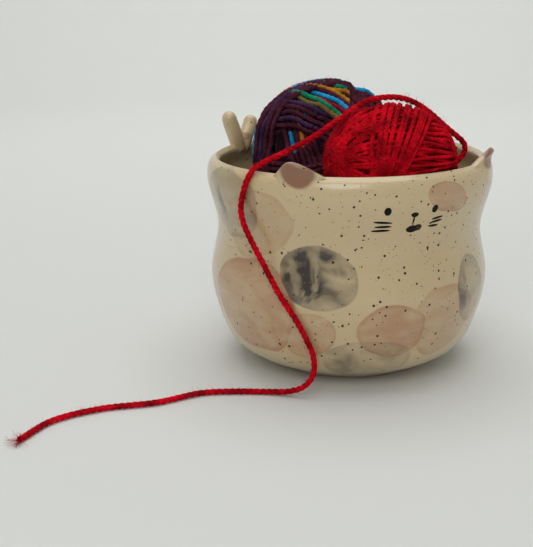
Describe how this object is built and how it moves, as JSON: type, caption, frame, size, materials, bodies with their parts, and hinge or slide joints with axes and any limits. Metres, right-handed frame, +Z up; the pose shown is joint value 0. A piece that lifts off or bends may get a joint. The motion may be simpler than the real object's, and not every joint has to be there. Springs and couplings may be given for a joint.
{
  "type": "yarn bowl",
  "caption": "Round glazed stoneware yarn bowl with a cat's face, ears and a forked tail on the rim, holding wound balls of yarn with one loose strand over the edge.",
  "frame": {"origin": "middle of the foot's underside, on the bowl's axis", "axes": "+Z up along the bowl's axis, -Y the way the cat's face looks, +X to the right of someone who looks at the face"},
  "size_m": [0.2657, 0.152, 0.1487],
  "materials": {
    "glazed_stoneware": "glossy clear glaze over cream speckled stoneware with brushed grey and pink spots",
    "pink_slip_stoneware": "pink-brown slip under glossy glaze",
    "red_wool": "plied wool, slightly hairy, matt",
    "variegated_wool": "plied wool dyed plum, gold, blue and green, matt",
    "oatmeal_wool": "plied undyed wool, matt"
  },
  "bodies": {
    "bowl": {"bowl": "glazed_stoneware", "ear_left": "pink_slip_stoneware", "ear_right": "pink_slip_stoneware", "tail_prong_left": "glazed_stoneware", "tail_prong_right": "glazed_stoneware", "red_strand": "red_wool"},
    "lower_cake": {"lower_cake": "oatmeal_wool"},
    "red_centre": {"red_ball_centre": "red_wool"},
    "red_ball": {"red_ball_wraps": "red_wool", "red_ball_band": "red_wool"},
    "multi_centre": {"multi_ball_centre": "variegated_wool"},
    "multi_ball": {"multi_ball_wraps": "variegated_wool"}
  },
  "joints": [
    {"name": "red_lift", "type": "slide", "parent": "bowl", "child": "red_centre", "axis": [0, 0, 1], "range_m": [0, 0.12], "deforming": ["red_strand"]},
    {"name": "red_roll", "type": "hinge", "parent": "red_centre", "child": "red_ball", "pos_m": [0.00544, -0.03766, 0.1133], "axis": [0.9904, 0.0901, -0.1045], "continuous": true},
    {"name": "multi_lift", "type": "slide", "parent": "bowl", "child": "multi_centre", "axis": [0, 0, 1], "range_m": [0, 0.12]},
    {"name": "multi_roll", "type": "hinge", "parent": "multi_centre", "child": "multi_ball", "pos_m": [0.00123, 0.03059, 0.1115], "axis": [0.9953, 0.0906, -0.0349], "continuous": true},
    {"name": "cake_turn", "type": "hinge", "parent": "bowl", "child": "lower_cake", "pos_m": [-0.0004, 0.00444, 0.07685], "axis": [-0.0124, 0.1363, 0.9906], "continuous": true}
  ]
}
